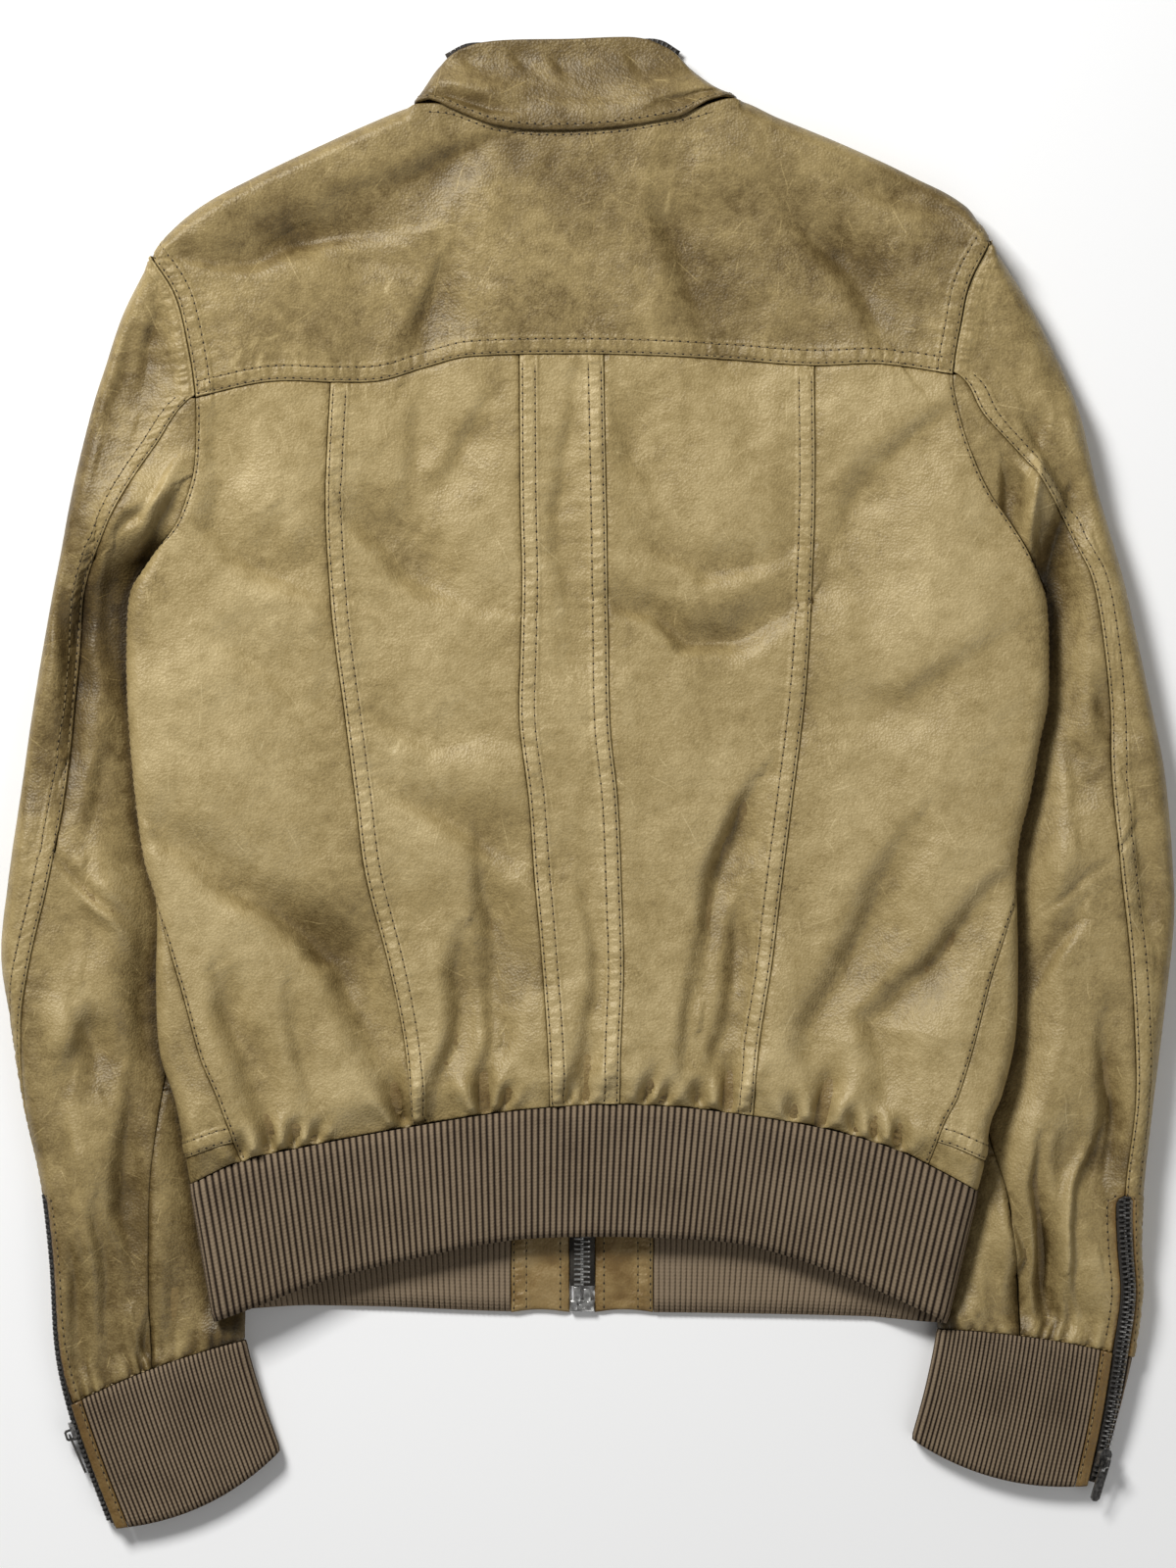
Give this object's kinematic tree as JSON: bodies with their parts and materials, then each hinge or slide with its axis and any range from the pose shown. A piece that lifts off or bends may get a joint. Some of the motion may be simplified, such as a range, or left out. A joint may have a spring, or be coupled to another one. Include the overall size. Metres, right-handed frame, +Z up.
{
  "type": "leather bomber jacket",
  "caption": "Worn tan leather bomber jacket with a yoke, panelled back, stand collar, zipped cuffs and brown ribbed knit hem and cuffs, laid out flat on its front.",
  "frame": {"origin": "on the surface that the jacket lies on, under the middle of its outline", "axes": "+Z up, out of the jacket's back; +Y along the back to the collar; +X to the right of the back as it is seen from above"},
  "size_m": [0.598, 0.7628, 0.031],
  "materials": {
    "leather": "worn semi-gloss",
    "leather_trim": "semi-gloss",
    "knit": "matt ribbed knit",
    "zip_tape": "matt woven",
    "zip_metal": "gunmetal"
  },
  "bodies": {
    "jacket": {"back_side_left": "leather", "back_side_right": "leather", "back_inner_left": "leather", "back_centre": "leather", "back_inner_right": "leather", "back_yoke": "leather", "front_left": "leather", "front_right": "leather", "front_band_left": "leather", "front_band_right": "leather", "hem_rib": "knit", "hem_tab_left": "leather_trim", "hem_tab_right": "leather_trim", "collar": "leather", "sleeve_left_upper": "leather", "sleeve_left_under": "leather", "cuff_rib_left": "knit", "cuff_binding_left": "leather_trim", "sleeve_zip_left": "zip_tape", "sleeve_right_upper": "leather", "sleeve_right_under": "leather", "cuff_rib_right": "knit", "cuff_binding_right": "leather_trim", "sleeve_zip_right": "zip_tape", "sleeve_left_slider": "zip_metal", "sleeve_right_slider": "zip_metal", "front_zip": "zip_tape", "front_zip_box": "zip_metal", "front_slider": "zip_metal", "collar_zip_left": "zip_metal", "collar_zip_right": "zip_metal"},
    "sleeve_left_pull_tab": {"sleeve_left_pull": "zip_metal"},
    "sleeve_right_pull_tab": {"sleeve_right_pull": "zip_metal"},
    "front_pull_tab": {"front_pull": "zip_metal"}
  },
  "joints": [
    {"name": "sleeve_left_pull_hinge", "type": "hinge", "parent": "jacket", "child": "sleeve_left_pull_tab", "pos_m": [-0.26495, -0.33379, 0.00756], "axis": [-0.1598, -0.0177, -0.987], "range_deg": [0, 150]},
    {"name": "sleeve_right_pull_hinge", "type": "hinge", "parent": "jacket", "child": "sleeve_right_pull_tab", "pos_m": [0.26434, -0.34713, 0.01228], "axis": [-0.8101, 0.1517, 0.5663], "range_deg": [0, 150]},
    {"name": "front_pull_hinge", "type": "hinge", "parent": "jacket", "child": "front_pull_tab", "pos_m": [-0.00291, 0.299, 0.0047], "axis": [1, 0, 0], "range_deg": [0, 150]}
  ]
}
